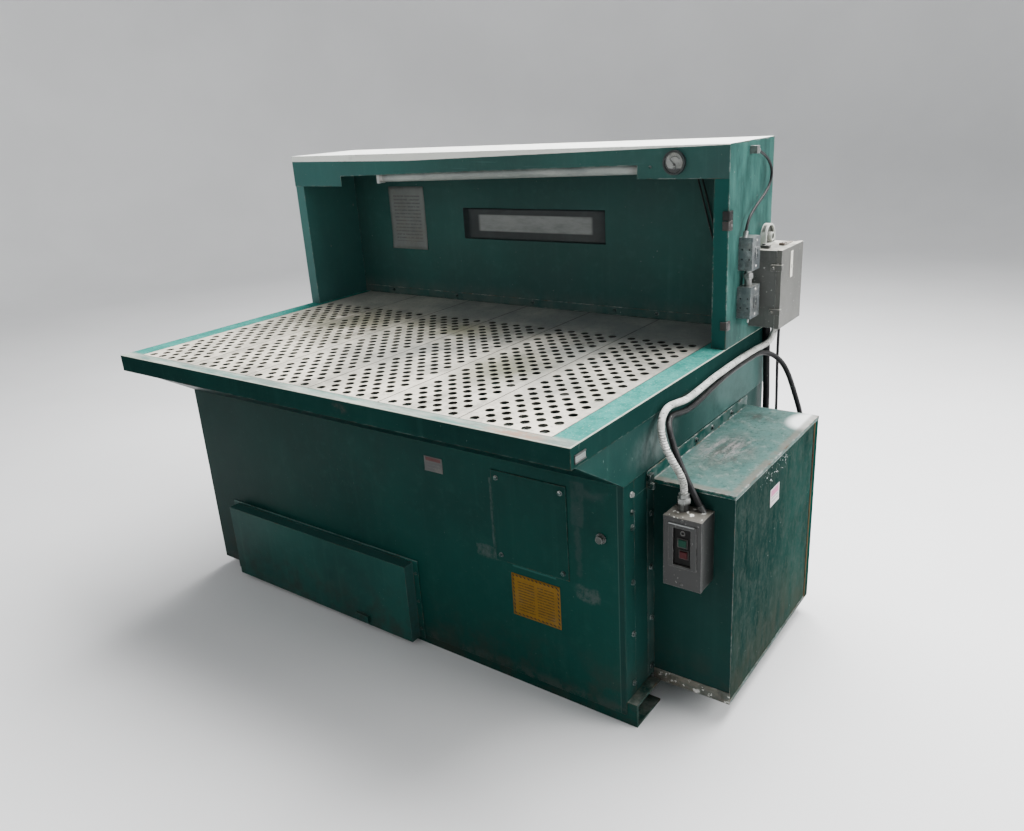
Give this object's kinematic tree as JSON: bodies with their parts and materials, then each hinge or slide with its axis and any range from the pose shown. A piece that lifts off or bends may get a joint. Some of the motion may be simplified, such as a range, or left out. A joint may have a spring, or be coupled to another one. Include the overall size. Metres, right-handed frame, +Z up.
{
  "type": "downdraft table",
  "caption": "Downdraft finishing table with perforated grates, a lit backdraft hood, a dust drawer, a side blower box and push-button controls.",
  "frame": {"origin": "on the floor under the middle of the cabinet, on the base tie that lies flat on the floor", "axes": "+X to the right along the table, towards the blower box; +Y from the front rim to the hood; +Z up"},
  "size_m": [2.237, 1.348, 1.652],
  "materials": {
    "teal_paint": "satin",
    "steel_grate": "satin",
    "galvanised_steel": "satin",
    "bright_steel": "satin",
    "dark_grey_enamel": "satin",
    "light_grey_enamel": "satin",
    "grey_enamel": "satin",
    "white_enamel": "gloss",
    "motor_grey": "satin",
    "filter_media": "matte",
    "lamp_glass": "satin",
    "black_plastic": "satin",
    "white_conduit": "satin",
    "black_jacket": "satin",
    "green_plastic": "gloss",
    "red_plastic": "gloss",
    "cast_fitting": "satin"
  },
  "bodies": {
    "root": {"base_channels": "teal_paint", "floor_pan": "teal_paint", "front_panel": "teal_paint", "side_panel_left": "teal_paint", "side_panel_right": "teal_paint", "rear_panel": "teal_paint", "table_skirt": "teal_paint", "table_rim": "teal_paint", "access_panel": "teal_paint", "tube_sheet": "teal_paint", "motor_stand": "teal_paint", "blower_box_front": "teal_paint", "blower_box_side": "teal_paint", "blower_box_top": "teal_paint", "blower_box_bottom": "teal_paint", "exhaust_grille": "teal_paint", "hood_left": "teal_paint", "hood_right": "teal_paint", "hood_back": "teal_paint", "hood_top": "teal_paint", "hood_fascia": "teal_paint", "grate_bearers": "galvanised_steel", "drawer_runners": "galvanised_steel", "blower_housing": "galvanised_steel", "switch_boxes": "galvanised_steel", "filter_tie_rods": "bright_steel", "cabinet_bolts": "bright_steel", "conduit_fittings": "bright_steel", "filter_cartridge_1": "filter_media", "filter_cartridge_2": "filter_media", "blower_motor": "motor_grey", "light_fixture": "white_enamel", "light_tube": "lamp_glass", "gauge_case": "black_plastic", "enclosure_body": "grey_enamel", "enclosure_controls": "black_plastic", "starter_box": "dark_grey_enamel", "starter_cover": "dark_grey_enamel", "starter_unit": "black_plastic", "side_conduit": "white_conduit", "black_conduit": "black_jacket", "cable_runs": "black_jacket", "hood_cord": "black_jacket", "supply_hub": "cast_fitting"},
    "grate_1": {"grate_1": "steel_grate"},
    "grate_2": {"grate_2": "steel_grate"},
    "grate_3": {"grate_3": "steel_grate"},
    "grate_4": {"grate_4": "steel_grate"},
    "grate_5": {"grate_5": "steel_grate"},
    "grate_6": {"grate_6": "steel_grate"},
    "drawer": {"drawer_front": "teal_paint", "drawer_tray": "galvanised_steel"},
    "rotor": {"blower_shaft": "bright_steel", "blower_wheel": "galvanised_steel"},
    "start_button": {"start_button": "green_plastic"},
    "stop_button": {"stop_button": "red_plastic"},
    "toggle_upper": {"toggle_upper": "bright_steel"},
    "toggle_lower": {"toggle_lower": "bright_steel"},
    "enclosure_door": {"enclosure_door": "light_grey_enamel"},
    "gauge_pointer": {"gauge_pointer": "black_plastic"}
  },
  "joints": [
    {"name": "grate_1_lift", "type": "slide", "parent": "root", "child": "grate_1", "axis": [0, 0, 1], "range_m": [0, 0.12]},
    {"name": "grate_2_lift", "type": "slide", "parent": "root", "child": "grate_2", "axis": [0, 0, 1], "range_m": [0, 0.12]},
    {"name": "grate_3_lift", "type": "slide", "parent": "root", "child": "grate_3", "axis": [0, 0, 1], "range_m": [0, 0.12]},
    {"name": "grate_4_lift", "type": "slide", "parent": "root", "child": "grate_4", "axis": [0, 0, 1], "range_m": [0, 0.12]},
    {"name": "grate_5_lift", "type": "slide", "parent": "root", "child": "grate_5", "axis": [0, 0, 1], "range_m": [0, 0.12]},
    {"name": "grate_6_lift", "type": "slide", "parent": "root", "child": "grate_6", "axis": [0, 0, 1], "range_m": [0, 0.12]},
    {"name": "drawer_slide", "type": "slide", "parent": "root", "child": "drawer", "axis": [0, -1, 0], "range_m": [0, 0.8]},
    {"name": "blower_spin", "type": "hinge", "parent": "root", "child": "rotor", "pos_m": [1.05, 0.01, 0.4], "axis": [1, 0, 0], "continuous": true},
    {"name": "start_button_press", "type": "slide", "parent": "root", "child": "start_button", "axis": [0, 1, 0], "range_m": [0, 0.004], "stiffness_N_per_m": 400},
    {"name": "stop_button_press", "type": "slide", "parent": "root", "child": "stop_button", "axis": [0, 1, 0], "range_m": [0, 0.004], "stiffness_N_per_m": 400},
    {"name": "toggle_upper_flip", "type": "hinge", "parent": "root", "child": "toggle_upper", "pos_m": [1.037, 0.274, 1.3075], "axis": [0, -1, 0], "range_deg": [0, 50]},
    {"name": "toggle_lower_flip", "type": "hinge", "parent": "root", "child": "toggle_lower", "pos_m": [1.037, 0.277, 1.1495], "axis": [0, -1, 0], "range_deg": [0, 50]},
    {"name": "enclosure_door_swing", "type": "hinge", "parent": "root", "child": "enclosure_door", "pos_m": [1.084, 0.553, 1.1765], "axis": [0, 0, 1], "range_deg": [0, 120]},
    {"name": "gauge_needle", "type": "hinge", "parent": "root", "child": "gauge_pointer", "pos_m": [0.814, 0.144, 1.594], "axis": [0, 1, 0], "range_deg": [0, 80], "stiffness_Nm_per_rad": 0.0005, "springref_deg": -17.19}
  ]
}
